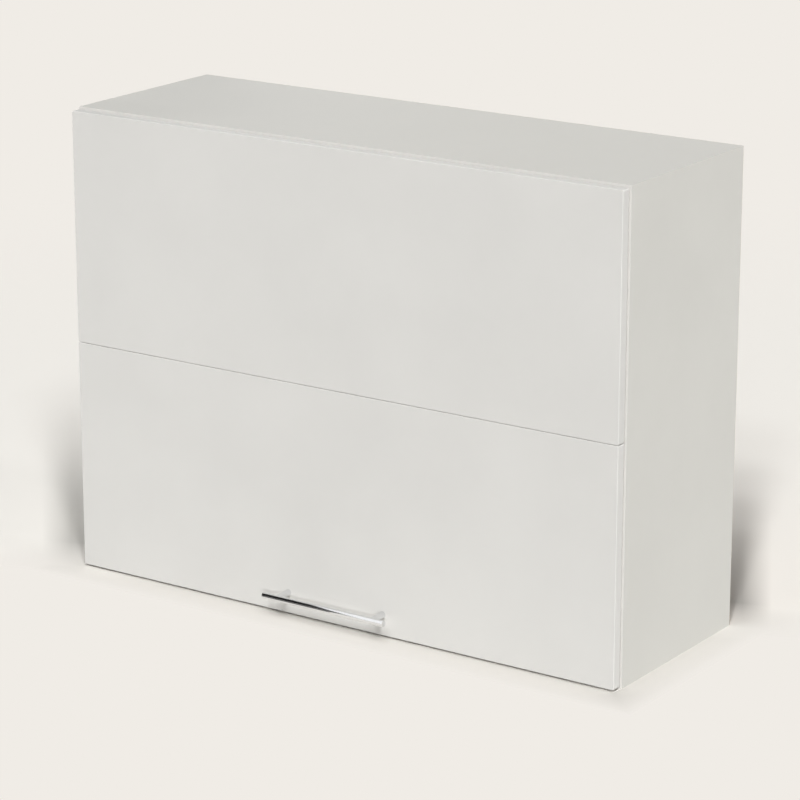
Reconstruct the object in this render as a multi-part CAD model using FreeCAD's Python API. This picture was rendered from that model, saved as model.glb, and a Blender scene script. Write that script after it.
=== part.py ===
import FreeCAD, Part
import math
import os

# Range hood wall cabinet with a folding lift front. Millimetres.
# X runs to the right, Y from the front to the wall, Z up. The origin is under the middle of the whole.

V = FreeCAD.Vector

# Carcass of coated board
width = 900.0
height = 678.0
carcass_depth = 293.0
board = 16.0
band = 1.0                   # edge band on the front edges
back_board = 3.0
back_setback = 16.0          # room for the wall rail behind the back panel
groove_depth = 8.0
groove_play = 0.1            # each face of the back panel in its groove
groove_end_play = 0.5

# Opening in the bottom panel for a built-in hood
hood_width = 680.0
hood_depth = 240.0
hood_front_strip = 18.0
hood_corner_r = 4.0
hood_hole_r = 2.5
hood_hole_side = 15.0        # hole to the edge of the opening
hood_hole_span = 180.0

# Shelf and its pins
shelf_height = 400.0
shelf_setback = 60.0
shelf_side_play = 1.0
shelf_back_play = 1.0
shelf_pin_inset = 30.0
shelf_pin_r = 2.5
shelf_pin_depth = 9.0
shelf_pin_play = 0.05
pin_tab_length = 9.0
pin_tab_width = 8.0
pin_tab_thick = 5.4
pin_hole_pitch = 32.0
pin_hole_count = 3

# Corner joints: cams, bolts and dowels
joint_inset = 50.0           # bolt to the front or rear edge of the carcass
dowel_step = 32.0            # bolt to its dowel
cam_r = 7.5
cam_height = 12.0
cam_inset = 24.0
cam_slot = 1.4
cam_slot_length = 10.5
cam_slot_depth = 2.5
bolt_r = 3.0
bolt_anchor = 11.0
dowel_r = 4.0
dowel_length = 30.0
dowel_in_side = 11.0
joint_play = 0.05

# Wall hangers
hanger_thick = 18.0
hanger_depth = 36.0
hanger_tall = 52.0
hanger_drop = 8.0
peg_r = 5.0
peg_length = 11.0
peg_span = 32.0
hook_width = 12.0
hook_stem = 5.0
hook_reach = 12.0            # past the back panel
hook_lip = 22.0
hook_lip_thick = 3.0
hook_start = 8.0             # body front to the stem's end
hook_travel = 6.0
hook_play = 0.3
window_play = 1.5
hanger_screw_r = 3.0
hanger_screw_head_r = 4.5
hanger_screw_head = 2.0
hanger_screw_length = 14.0
hanger_screw_span = 34.0
hanger_cover_wall = 1.5
hanger_cover_play = 0.2

# Fronts
front_thick = 16.0
front_gap = 2.0
top_reveal = 3.0
bottom_reveal = 3.0
side_reveal = 1.5
seam = 0.6
edge_round = 0.8             # edges of the front face
back_round = 2.0             # corners and edges of the back face
bumper_r = 4.0
bumper_inset = 10.0
bumper_rise = 24.0
bumper_play = 0.1

# Top hinges: a pin near the top edge turns inside a case let into the front
top_hinge_inset = 150.0      # middle of the hinge to the cabinet's side
pivot_back = 9.5             # pin axis to the back face of the front
pivot_drop = 6.9             # pin axis to the top edge of the front
top_pin_r = 1.5
eye_wall = 1.1
running_play = 0.05
case_width = 32.0
case_height = 35.0
case_depth = 13.4
case_wall = 1.2
case_corner_r = 5.0
case_land = 2.8              # case to the top edge of the front
case_play = 0.1
wing_reach = 14.0
wing_height = 18.0
wing_thick = 1.0
wing_drop = 16.0             # top of the case to the top of the wing
wing_screw_inset = 6.0
hinge_arm_width = 24.0
arm_leg_front = 2.2
arm_leg_back = 1.2
arm_drop = 11.6              # pin axis to the top of the bar
arm_bar = 4.5
plate_setback = 14.0
plate_length = 40.0
plate_thick = 2.0
plate_width = 48.0
plate_screw_inset = 6.0
arm_foot_inset = 4.0

# Centre hinges on the back faces at the seam
centre_hinge_inset = 200.0
centre_pin_back = 4.5        # pin axis behind the back faces
centre_pin_r = 2.0
knuckle_r = 3.6
knuckle_play = 0.3
leaf_width = 36.0
leaf_height = 40.0
leaf_thick = 2.5
middle_knuckle = 17.0
leaf_screw_x = 11.0
leaf_screw_inset = 12.0

# Lift units, arms and brackets
lift_pivot_back = 50.0       # pivot behind the outer face of the fronts
lift_pivot_drop = 39.0       # pivot below the top of the carcass
bracket_pin_back = 29.5      # arm pin behind the back face of the lower front
bracket_pin_drop = 38.0      # arm pin below the centre hinge pin
base_thick = 2.0
cover_thick = 24.0
cover_wall = 1.6
cover_front = 24.0           # pivot to the front of the cover
cover_rear = 150.0
cover_top = 22.0
cover_bottom = 22.0
cover_round = 4.0
cover_hole_play = 0.6
base_rear_flange = 16.0
base_lower_flange = 14.0
base_screw_inset = 7.0
base_screw_step = 80.0
boss_r = 9.0
boss_height = 6.0
shaft_r = 5.0
shaft_cap_r = 8.0
shaft_cap = 1.5
crank_reach = 14.0
crank_r = 4.5
crank_thick = 5.0
crank_pin_r = 2.5
crank_pin_length = 6.0
crank_angle = 120.0          # above the level, from the rear; the spring pulls the arm up
post_r = 3.0
post_inset = 16.0
post_length = 18.0
spring_wire_r = 1.1
spring_coil_r = 5.0
spring_turns = 26
spring_bead_r = 1.13         # where the spoke meets the first turn
spring_eye_play = 0.1
spring_tail = 18.0           # eye centre to the first coil
arm_gap = 1.0
arm_thick = 6.0
arm_hub_r = 11.0
arm_tip_r = 8.0
arm_recess = 1.5
arm_rim = 4.0
arm_pin_r = 3.0
arm_pin_head_r = 6.0
arm_pin_head = 2.0
bracket_gap = 1.0
cheek_thick = 3.0
cheek_rim = 5.5
foot_width = 24.0
foot_thick = 2.5
foot_above = 16.0
foot_below = 24.0
foot_screw_inset = 7.0
slot_rise = 5.6              # the pin climbs in the slot as the front folds
slot_side = 0.85
slot_play = 0.4

# Handle
handle_length = 205.0
handle_r = 4.5
handle_offset = 29.0         # rod axis in front of the lower front
handle_rise = 30.0           # rod axis above the lower edge of the front
handle_span = 160.0
post_base_r = 5.0
post_tip_r = 3.8
rod_round = 1.0
handle_screw_r = 2.0
handle_screw_head_r = 4.0
handle_screw_head = 2.2
handle_screw_grip = 12.0
handle_hole_play = 0.2

# Screws in board
screw_r = 1.75
screw_head_r = 3.4
screw_head = 1.8
screw_length = 13.0
screw_tip = 3.5
screw_tip_r = 0.45
recess_width = 0.9           # cross recess in each screw head
recess_depth = 1.2
recess_share = 0.65          # of the head's radius

# Places worked out from the sizes
handle_projection = handle_offset + handle_r
overall_depth = handle_projection + front_thick + front_gap + carcass_depth
front_face = handle_projection - overall_depth / 2
back_face = front_face + front_thick
carcass_front = back_face + front_gap
carcass_back = carcass_front + carcass_depth
inner_x = width / 2 - board
inner_top = height - board
top_hinge_x = width / 2 - top_hinge_inset
centre_hinge_x = width / 2 - centre_hinge_inset
back_rear = carcass_back - back_setback
back_front = back_rear - back_board
front_width = width - 2 * side_reveal
front_height = (height - top_reveal - bottom_reveal - seam) / 2
lower_top = bottom_reveal + front_height
upper_bottom = lower_top + seam
upper_top = height - top_reveal
pivot_y = back_face - pivot_back
pivot_z = upper_top - pivot_drop
seam_y = back_face + centre_pin_back
seam_z = (lower_top + upper_bottom) / 2
lift_y = front_face + lift_pivot_back
lift_z = height - lift_pivot_drop
bracket_y = back_face + bracket_pin_back
bracket_z = seam_z - bracket_pin_drop
base_x = inner_x - base_thick
cover_x = base_x - cover_thick
arm_x = cover_x - arm_gap
cheek_x = arm_x - arm_thick - bracket_gap
handle_z = bottom_reveal + handle_rise
eye_r = top_pin_r + running_play + eye_wall
touch = 0.01                 # points closer than this are the same point


def box(x0, x1, y0, y1, z0, z1):
    return Part.makeBox(x1 - x0, y1 - y0, z1 - z0, V(x0, y0, z0))


def rod_x(x0, x1, y, z, r):
    return Part.makeCylinder(r, x1 - x0, V(x0, y, z), V(1, 0, 0))


def rod_y(x, y0, y1, z, r):
    return Part.makeCylinder(r, y1 - y0, V(x, y0, z), V(0, 1, 0))


def rod_z(x, y, z0, z1, r):
    return Part.makeCylinder(r, z1 - z0, V(x, y, z0), V(0, 0, 1))


def join(shapes):
    return shapes[0].multiFuse(shapes[1:]).removeSplitter()


def group(shapes):
    return Part.makeCompound(shapes)


def mirrored(shape):
    return shape.mirror(V(0, 0, 0), V(1, 0, 0))


def both(shape):
    return [shape, mirrored(shape)]


def on_both(shapes):
    return [copy for shape in shapes for copy in both(shape)]


def rounded_block(x0, x1, y0, y1, z0, z1, r):
    # A block whose edges along Y are rounded
    block = box(x0, x1, y0, y1, z0, z1)
    edges = [e for e in block.Edges if abs(e.Vertexes[0].Y - e.Vertexes[-1].Y) > (y1 - y0) / 2]
    return block.makeFillet(r, edges)


def link_plate(y0, z0, r0, y1, z1, r1, x0, x1):
    # A flat bar with two round ends of different size, cut across X
    reach = math.hypot(y1 - y0, z1 - z0)
    along = V(0, (y1 - y0) / reach, (z1 - z0) / reach)
    across = V(0, -along.z, along.y)
    lean = (r0 - r1) / reach
    side = math.sqrt(1 - lean * lean)
    start = V(x0, y0, z0)
    end = V(x0, y1, z1)
    up = along * lean + across * side
    down = along * lean - across * side
    edges = [
        Part.LineSegment(start + up * r0, end + up * r1).toShape(),
        Part.Arc(end + up * r1, end + along * r1, end + down * r1).toShape(),
        Part.LineSegment(end + down * r1, start + down * r0).toShape(),
        Part.Arc(start + down * r0, start - along * r0, start + up * r0).toShape(),
    ]
    return Part.Face(Part.Wire(edges)).extrude(V(x1 - x0, 0, 0))


def turned(shape, x, y, z, way):
    # Moves a shape made along +Z from the origin to a point, pointing along way
    shape.Placement = FreeCAD.Placement(V(x, y, z), FreeCAD.Rotation(V(0, 0, 1), way))
    return shape


def cross_recess(head_r):
    arm = head_r * recess_share
    half = recess_width / 2
    bar = box(-arm, arm, -half, half, 0, recess_depth)
    return bar.fuse(box(-half, half, -arm, arm, 0, recess_depth))


def screw_blank():
    # Countersunk screw without its recess, from the head at the origin to the tip along +Z
    head = Part.makeCone(screw_head_r, screw_r, screw_head)
    shank = Part.makeCylinder(screw_r, screw_length - screw_head - screw_tip, V(0, 0, screw_head))
    point = Part.makeCone(screw_r, screw_tip_r, screw_tip, V(0, 0, screw_length - screw_tip))
    return join([head, shank, point])


def screw_hole(x, y, z, way):
    return turned(screw_blank(), x, y, z, way)


def screw(x, y, z, way):
    return turned(screw_blank().cut(cross_recess(screw_head_r)), x, y, z, way)


# Fasteners of the carcass

joint_rows = [
    (carcass_front + joint_inset, carcass_front + joint_inset + dowel_step),
    (carcass_back - joint_inset, carcass_back - joint_inset - dowel_step),
]
joint_levels = [board / 2, height - board / 2]


def cam_bolts(play=0.0):
    shapes = []
    for z in joint_levels:
        for bolt_y, _ in joint_rows:
            bolt = rod_x(inner_x - cam_inset, inner_x + bolt_anchor + play, bolt_y, z, bolt_r + play)
            shapes += both(bolt)
    return shapes


def dowels(play=0.0):
    inside = dowel_length - dowel_in_side
    shapes = []
    for z in joint_levels:
        for _, dowel_y in joint_rows:
            dowel = rod_x(inner_x - inside - play, inner_x + dowel_in_side + play, dowel_y, z, dowel_r + play)
            shapes += both(dowel)
    return shapes


def cams(play=0.0):
    shapes = []
    for bolt_y, _ in joint_rows:
        x = inner_x - cam_inset
        shapes += both(rod_z(x, bolt_y, board - cam_height, board, cam_r + play))
        shapes += both(rod_z(x, bolt_y, inner_top, inner_top + cam_height, cam_r + play))
    return shapes


def cam_locks():
    bolts = group(cam_bolts(joint_play))
    x0 = inner_x - cam_inset - cam_slot_length / 2
    x1 = x0 + cam_slot_length
    slots = []
    for bolt_y, _ in joint_rows:
        y0 = bolt_y - cam_slot / 2
        y1 = bolt_y + cam_slot / 2
        slots += both(box(x0, x1, y0, y1, board - cam_slot_depth, board))
        slots += both(box(x0, x1, y0, y1, inner_top, inner_top + cam_slot_depth))
    return [cam.cut(bolts).cut(group(slots)) for cam in cams()]


# Wall hangers, right-hand pieces

hanger_top = inner_top - hanger_drop
hanger_z = hanger_top - hanger_tall / 2
hanger_front = back_front - hanger_depth
hook_x = inner_x - hanger_thick / 2


def hanger_pegs(play=0.0):
    y = (hanger_front + back_front) / 2
    ends = (hanger_z - peg_span / 2, hanger_z + peg_span / 2)
    return [rod_x(inner_x, inner_x + peg_length + play, y, z, peg_r + play) for z in ends]


hanger_screw_levels = (hanger_z - hanger_screw_span / 2, hanger_z + hanger_screw_span / 2)


def hanger_screws():
    shapes = []
    for z in hanger_screw_levels:
        shank = rod_y(hook_x, hanger_front, hanger_front + hanger_screw_length, z, hanger_screw_r)
        head_y = hanger_front - hanger_screw_head
        head = rod_y(hook_x, head_y, hanger_front, z, hanger_screw_head_r)
        recess = turned(cross_recess(hanger_screw_head_r), hook_x, head_y, z, V(0, 1, 0))
        shapes.append(join([shank, head]).cut(recess))
    return shapes


def hanger_body():
    x0 = inner_x - hanger_thick
    body = box(x0, inner_x, hanger_front, back_front, hanger_top - hanger_tall, hanger_top)
    body = join([body] + hanger_pegs())
    half_x = hook_width / 2 + hook_play
    half_z = hook_stem / 2 + hook_travel + hook_play
    start = hanger_front + hook_start - hook_play
    cavity = box(hook_x - half_x, hook_x + half_x, start, back_front, hanger_z - half_z, hanger_z + half_z)
    return body.cut(cavity).cut(group(hanger_screws()))


def hanger_hook():
    half = hook_width / 2
    end = back_rear + hook_reach
    top = hanger_z + hook_stem / 2
    stem = box(hook_x - half, hook_x + half, hanger_front + hook_start, end, top - hook_stem, top)
    lip = box(hook_x - half, hook_x + half, end - hook_lip_thick, end, top - hook_lip, top)
    return join([stem, lip])


def hanger_window():
    half_x = hook_width / 2 + window_play
    half_z = hook_stem / 2 + hook_travel + window_play
    return box(hook_x - half_x, hook_x + half_x, back_front, back_rear, hanger_z - half_z, hanger_z + half_z)


def hanger_cover():
    x0 = inner_x - hanger_thick - hanger_cover_play
    y0 = hanger_front - hanger_screw_head - hanger_cover_play
    z0 = hanger_top - hanger_tall - hanger_cover_play
    z1 = hanger_top + hanger_cover_play
    wall = hanger_cover_wall
    shell = box(x0 - wall, inner_x, y0 - wall, back_front, z0 - wall, z1 + wall)
    shell = shell.makeFillet(wall, [e for e in shell.Edges if is_outer_edge(e, x0 - wall, y0 - wall)])
    shell = shell.cut(box(x0, inner_x, y0, back_front, z0, z1))
    for z in hanger_screw_levels:
        shell = shell.cut(rod_y(hook_x, y0 - wall, y0, z, hanger_screw_head_r))
    return shell


def is_outer_edge(edge, x, y):
    # Edges on the cabinet's inner side or front face of a cover, but not on its open sides
    ends = edge.Vertexes
    on_side = all(abs(v.X - x) < touch for v in ends)
    on_front = all(abs(v.Y - y) < touch for v in ends)
    open_end = any(abs(v.X - inner_x) < touch for v in ends) and not on_front
    return (on_side or on_front) and not open_end


# Carcass panels

def shelf_pin_rows():
    front = carcass_front + shelf_setback + shelf_pin_inset
    rear = back_front - shelf_back_play - shelf_pin_inset
    return (front, rear)


def shelf_pin_holes():
    holes = []
    for y in shelf_pin_rows():
        for step in range(pin_hole_count):
            z = shelf_height - pin_tab_thick / 2 + (step - pin_hole_count // 2) * pin_hole_pitch
            r = shelf_pin_r + shelf_pin_play
            holes.append(rod_x(inner_x, inner_x + shelf_pin_depth + shelf_pin_play, y, z, r))
    return holes


def shelf_pins():
    shapes = []
    x0 = inner_x - pin_tab_length
    z0 = shelf_height - pin_tab_thick
    half = pin_tab_width / 2
    for y in shelf_pin_rows():
        peg = rod_x(inner_x, inner_x + shelf_pin_depth, y, z0 + pin_tab_thick / 2, shelf_pin_r)
        tab = box(x0, inner_x, y - half, y + half, z0, shelf_height)
        shapes += both(join([peg, tab]))
    return shapes


def back_groove():
    y0 = back_front - groove_play
    y1 = back_rear + groove_play
    outer = inner_x + groove_depth
    return box(-outer, outer, y0, y1, board - groove_depth, inner_top + groove_depth)


def side_panel():
    panel = box(inner_x, width / 2, carcass_front + band, carcass_back, 0, height)
    holes = shelf_pin_holes() + hanger_pegs(joint_play) + base_screws(screw_hole)
    holes += cam_bolts(joint_play) + dowels(joint_play)
    return panel.cut(back_groove()).cut(group(holes))


def cross_panel(z0, z1):
    panel = box(-inner_x, inner_x, carcass_front + band, carcass_back, z0, z1)
    holes = cams(joint_play) + cam_bolts(joint_play) + dowels(joint_play)
    return panel.cut(back_groove()).cut(group(holes))


def top_panel():
    return cross_panel(inner_top, height).cut(group(on_both(plate_screws(screw_hole))))


def bottom_panel():
    y0 = carcass_front + hood_front_strip
    y1 = y0 + hood_depth
    half = hood_width / 2
    opening = box(-half, half, y0, y1, 0, board)
    uprights = [e for e in opening.Edges if abs(e.Vertexes[0].Z - e.Vertexes[-1].Z) > board / 2]
    opening = opening.makeFillet(hood_corner_r, uprights)
    holes = []
    for y in ((y0 + y1 - hood_hole_span) / 2, (y0 + y1 + hood_hole_span) / 2):
        holes += both(rod_z(half + hood_hole_side, y, 0, board, hood_hole_r))
    return cross_panel(0, board).cut(opening).cut(group(holes))


def back_panel():
    edge = groove_depth - groove_end_play
    x = inner_x + edge
    panel = box(-x, x, back_front, back_rear, board - edge, inner_top + edge)
    return panel.cut(group(both(hanger_window())))


def shelf():
    x = inner_x - shelf_side_play
    y0 = carcass_front + shelf_setback + band
    return box(-x, x, y0, back_front - shelf_back_play, shelf_height, shelf_height + board)


def edge_bands():
    y0 = carcass_front
    y1 = carcass_front + band
    strips = both(box(inner_x, width / 2, y0, y1, 0, height))
    for z in (0, inner_top):
        strips.append(box(-inner_x, inner_x, y0, y1, z, z + board))
    x = inner_x - shelf_side_play
    strips.append(box(-x, x, y0 + shelf_setback, y1 + shelf_setback, shelf_height, shelf_height + board))
    return strips


# Top hinges, right-hand pieces

case_top = upper_top - case_land
case_back = back_face - case_depth
plate_front = carcass_front + plate_setback
plate_rear = plate_front + plate_length


def case_block(grow):
    half = case_width / 2 + grow
    x = top_hinge_x
    return rounded_block(x - half, x + half, case_back, back_face, case_top - case_height - grow,
                         case_top + grow, case_corner_r + grow)


def case_screws(make=screw):
    reach = case_width / 2 + wing_reach - wing_screw_inset
    z = case_top - wing_drop - wing_height / 2
    ends = (top_hinge_x - reach, top_hinge_x + reach)
    return [make(x, back_face + wing_thick, z, V(0, -1, 0)) for x in ends]


def top_hinge_case():
    solid = case_block(0)
    half = case_width / 2 - case_wall
    x = top_hinge_x
    room = rounded_block(x - half, x + half, case_back + case_wall, back_face,
                         case_top - case_height + case_wall, case_top - case_wall, case_corner_r - case_wall)
    solid = solid.cut(room)
    z1 = case_top - wing_drop
    outer = case_width / 2 + wing_reach
    wings = []
    for x0, x1 in ((x - outer, x - half), (x + half, x + outer)):
        wings.append(box(x0, x1, back_face, back_face + wing_thick, z1 - wing_height, z1))
    solid = join([solid] + wings)
    return solid.cut(top_hinge_pin()).cut(group(case_screws(screw_hole)))


def top_hinge_pin():
    half = case_width / 2 - case_wall / 2
    return rod_x(top_hinge_x - half, top_hinge_x + half, pivot_y, pivot_z, top_pin_r)


def top_hinge_arm():
    x0 = top_hinge_x - hinge_arm_width / 2
    x1 = top_hinge_x + hinge_arm_width / 2
    bar_top = pivot_z - arm_drop
    bar_bottom = bar_top - arm_bar
    front = pivot_y - arm_leg_front
    foot_front = plate_front + arm_foot_inset
    foot_rear = plate_rear - arm_foot_inset
    leg = box(x0, x1, front, pivot_y + arm_leg_back, bar_bottom, pivot_z)
    bar = box(x0, x1, front, foot_rear, bar_bottom, bar_top)
    foot = box(x0, x1, foot_front, foot_rear, bar_bottom, inner_top - plate_thick)
    solid = join([leg, bar, foot, rod_x(x0, x1, pivot_y, pivot_z, eye_r)])
    return solid.cut(rod_x(x0, x1, pivot_y, pivot_z, top_pin_r + running_play))


def plate_screws(make=screw):
    reach = plate_width / 2 - plate_screw_inset
    y = (plate_front + plate_rear) / 2
    z = inner_top - plate_thick
    ends = (top_hinge_x - reach, top_hinge_x + reach)
    return [make(x, y, z, V(0, 0, 1)) for x in ends]


def top_hinge_plate():
    x0 = top_hinge_x - plate_width / 2
    x1 = top_hinge_x + plate_width / 2
    plate = box(x0, x1, plate_front, plate_rear, inner_top - plate_thick, inner_top)
    return plate.cut(group(plate_screws(screw_hole)))


# Centre hinges, right-hand pieces

def leaf_screws(way, make=screw):
    z = seam_z + way * (knuckle_r + knuckle_play + leaf_height - leaf_screw_inset)
    y = back_face + leaf_thick
    ends = (centre_hinge_x - leaf_screw_x, centre_hinge_x + leaf_screw_x)
    return [make(x, y, z, V(0, -1, 0)) for x in ends]


def leaf_plate(way):
    near = seam_z + way * (knuckle_r + knuckle_play)
    far = near + way * leaf_height
    half = leaf_width / 2
    z0, z1 = sorted((near, far))
    return box(centre_hinge_x - half, centre_hinge_x + half, back_face, back_face + leaf_thick, z0, z1)


def knuckle(x0, x1, way):
    # The barrel and the neck that ties it to its leaf
    barrel = rod_x(x0, x1, seam_y, seam_z, knuckle_r)
    z0, z1 = sorted((seam_z, seam_z + way * (knuckle_r + knuckle_play)))
    neck = box(x0, x1, seam_y - knuckle_r, back_face + leaf_thick, z0, z1)
    return [barrel, neck]


def centre_pin(play=0.0):
    half = leaf_width / 2
    return rod_x(centre_hinge_x - half, centre_hinge_x + half, seam_y, seam_z, centre_pin_r + play)


def upper_leaf():
    half = leaf_width / 2
    inner = middle_knuckle / 2 + knuckle_play
    x = centre_hinge_x
    shapes = [leaf_plate(1)] + knuckle(x - half, x - inner, 1) + knuckle(x + inner, x + half, 1)
    return join(shapes).cut(centre_pin()).cut(group(leaf_screws(1, screw_hole)))


def lower_leaf():
    half = middle_knuckle / 2
    shapes = [leaf_plate(-1)] + knuckle(centre_hinge_x - half, centre_hinge_x + half, -1)
    return join(shapes).cut(centre_pin(running_play)).cut(group(leaf_screws(-1, screw_hole)))


# Lift units, right-hand pieces

cover_y0 = lift_y - cover_front
cover_y1 = lift_y + cover_rear
cover_z0 = lift_z - cover_bottom
cover_z1 = lift_z + cover_top
crank_y = lift_y + crank_reach * math.cos(math.radians(crank_angle))
crank_z = lift_z + crank_reach * math.sin(math.radians(crank_angle))
crank_x = base_x - boss_height - arm_gap
post_y = cover_y1 - post_inset
spring_x = crank_x - crank_thick - crank_pin_length / 2


def base_screws(make=screw):
    rear_y = cover_y1 + base_rear_flange - base_screw_inset
    low_z = cover_z0 - base_lower_flange + base_screw_inset
    places = [(rear_y, cover_z0 + base_screw_inset), (rear_y, cover_z1 - base_screw_inset)]
    middle = (cover_y0 + cover_y1) / 2
    places += [(middle, low_z), (middle + base_screw_step, low_z)]
    return [make(base_x, y, z, V(1, 0, 0)) for y, z in places]


def lift_base():
    rear = cover_y1 + base_rear_flange
    plate = box(base_x, inner_x, cover_y0, rear, cover_z0 - base_lower_flange, cover_z1)
    boss = rod_x(base_x - boss_height, base_x, lift_y, lift_z, boss_r)
    post = rod_x(base_x - post_length, base_x, post_y, crank_z, post_r)
    solid = join([plate, boss, post])
    bore = rod_x(base_x - boss_height, base_x, lift_y, lift_z, shaft_r + running_play)
    return solid.cut(bore).cut(group(base_screws(screw_hole)))


def lift_cover():
    shell = box(cover_x, base_x, cover_y0, cover_y1, cover_z0, cover_z1)
    outer = [e for e in shell.Edges if not all(abs(v.X - base_x) < touch for v in e.Vertexes)]
    shell = shell.makeFillet(cover_round, outer)
    room = box(cover_x + cover_wall, base_x, cover_y0 + cover_wall, cover_y1 - cover_wall,
               cover_z0 + cover_wall, cover_z1 - cover_wall)
    inner = [e for e in room.Edges if not all(abs(v.X - base_x) < touch for v in e.Vertexes)]
    room = room.makeFillet(cover_round - cover_wall, inner)
    hole = rod_x(cover_x, cover_x + cover_wall, lift_y, lift_z, shaft_r + cover_hole_play)
    return shell.cut(room).cut(hole)


def lift_shaft():
    cap_x = arm_x - arm_thick
    shaft = rod_x(cap_x, base_x, lift_y, lift_z, shaft_r)
    cap = rod_x(cap_x - shaft_cap, cap_x, lift_y, lift_z, shaft_cap_r)
    crank = link_plate(lift_y, lift_z, boss_r, crank_y, crank_z, crank_r, crank_x - crank_thick, crank_x)
    pin_x = crank_x - crank_thick
    pin = rod_x(pin_x - crank_pin_length, pin_x, crank_y, crank_z, crank_pin_r)
    return join([shaft, cap, crank, pin])


def spring_end(z, way, pin_r):
    # The eye for a pin, the tail along the axis and the spoke out to the first turn, wound about Z
    ring = pin_r + spring_eye_play + spring_wire_r
    eye_z = z + way * spring_tail
    end = Part.makeTorus(ring, spring_wire_r, V(0, 0, eye_z), V(1, 0, 0))
    z0, z1 = sorted((z, eye_z - way * ring))
    end = end.fuse(rod_z(0, 0, z0, z1, spring_wire_r))
    end = end.fuse(Part.makeSphere(spring_wire_r, V(0, 0, z)))
    end = end.fuse(rod_x(0, spring_coil_r, 0, z, spring_wire_r))
    return end.fuse(Part.makeSphere(spring_bead_r, V(spring_coil_r, 0, z)))


def lift_spring():
    # Tension spring from the crank pin to the post
    start = crank_y + spring_tail
    reach = post_y - spring_tail - start
    helix = Part.makeHelix(reach / spring_turns, reach, spring_coil_r)
    section = Part.Wire(Part.makeCircle(spring_wire_r, V(spring_coil_r, 0, 0), V(0, 1, 0)))
    coil = Part.Wire(helix.Edges).makePipeShell([section], True, True)
    spring = coil.fuse(spring_end(0, -1, crank_pin_r)).fuse(spring_end(reach, 1, post_r))
    return turned(spring, spring_x, start, crank_z, V(0, 1, 0))


def lift_arm():
    x0 = arm_x - arm_thick
    solid = link_plate(lift_y, lift_z, arm_hub_r, bracket_y, bracket_z, arm_tip_r, x0, arm_x)
    reach = arm_hub_r + arm_rim
    room = arm_tip_r - arm_rim
    recess = link_plate(lift_y, lift_z - reach - room, room, bracket_y, bracket_z + reach + room, room,
                        x0, x0 + arm_recess)
    return solid.cut(recess).cut(lift_shaft()).cut(arm_pin())


def arm_pin():
    head_x = cheek_x - cheek_thick - bracket_gap
    pin = rod_x(head_x, arm_x, bracket_y, bracket_z, arm_pin_r)
    head = rod_x(head_x - arm_pin_head, head_x, bracket_y, bracket_z, arm_pin_head_r)
    return join([pin, head])


def bracket_screws(make=screw):
    x = cheek_x - (foot_width + cheek_thick) / 2
    ends = (bracket_z + foot_above - foot_screw_inset, bracket_z - foot_below + foot_screw_inset)
    return [make(x, back_face + foot_thick, z, V(0, -1, 0)) for z in ends]


def arm_bracket():
    half = arm_pin_r + slot_side + slot_play
    slot_top = bracket_z + slot_rise
    foot = box(cheek_x - foot_width, cheek_x, back_face, back_face + foot_thick,
               bracket_z - foot_below, bracket_z + foot_above)
    x0 = cheek_x - cheek_thick
    reach = half + cheek_rim
    web = box(x0, cheek_x, back_face, bracket_y, bracket_z - reach, slot_top + reach)
    nose = link_plate(bracket_y, bracket_z, reach, bracket_y, slot_top, reach, x0, cheek_x)
    slot = link_plate(bracket_y, bracket_z, half, bracket_y, slot_top, half, x0, cheek_x)
    return join([foot, web, nose]).cut(slot).cut(group(bracket_screws(screw_hole)))


# Fronts and handle

def front_board(z0, z1):
    half = front_width / 2
    panel = box(-half, half, front_face, back_face, z0, z1)
    rear = [e for e in panel.Edges if e.BoundBox.YMax > front_face + edge_round]
    panel = panel.makeFillet(back_round, rear)
    rim = [e for e in panel.Edges if e.BoundBox.YMax < front_face + edge_round]
    return panel.makeFillet(edge_round, rim)


def upper_front():
    cutters = [case_block(case_play)] + case_screws(screw_hole) + leaf_screws(1, screw_hole)
    return front_board(upper_bottom, upper_top).cut(group(on_both(cutters)))


def lower_front():
    hole_r = handle_screw_r + handle_hole_play
    cutters = [rod_y(handle_span / 2, front_face, back_face, handle_z, hole_r)]
    cutters += leaf_screws(-1, screw_hole) + bracket_screws(screw_hole)
    return front_board(bottom_reveal, lower_top).cut(group(on_both(cutters)))


def handle_bar():
    y = front_face - handle_offset
    half = handle_length / 2
    bar = rod_x(-half, half, y, handle_z, handle_r)
    return bar.makeFillet(rod_round, [e for e in bar.Edges if e.Closed])


def handle_post():
    base = V(handle_span / 2, front_face, handle_z)
    post = Part.makeCone(post_base_r, post_tip_r, handle_offset, base, V(0, -1, 0))
    return post.cut(handle_bar()).cut(handle_screw())


def handle_screw():
    x = handle_span / 2
    shank = rod_y(x, front_face - handle_screw_grip, back_face, handle_z, handle_screw_r)
    head_y = back_face + handle_screw_head
    head = rod_y(x, back_face, head_y, handle_z, handle_screw_head_r)
    recess = turned(cross_recess(handle_screw_head_r), x, head_y, handle_z, V(0, -1, 0))
    return join([shank, head]).cut(recess)


def bumpers():
    x = width / 2 - bumper_inset
    thick = front_gap - bumper_play
    shapes = []
    for z in (bottom_reveal + bumper_rise, lower_top - bumper_rise):
        shapes += both(rod_y(x, back_face, back_face + thick, z, bumper_r))
    return shapes


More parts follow.
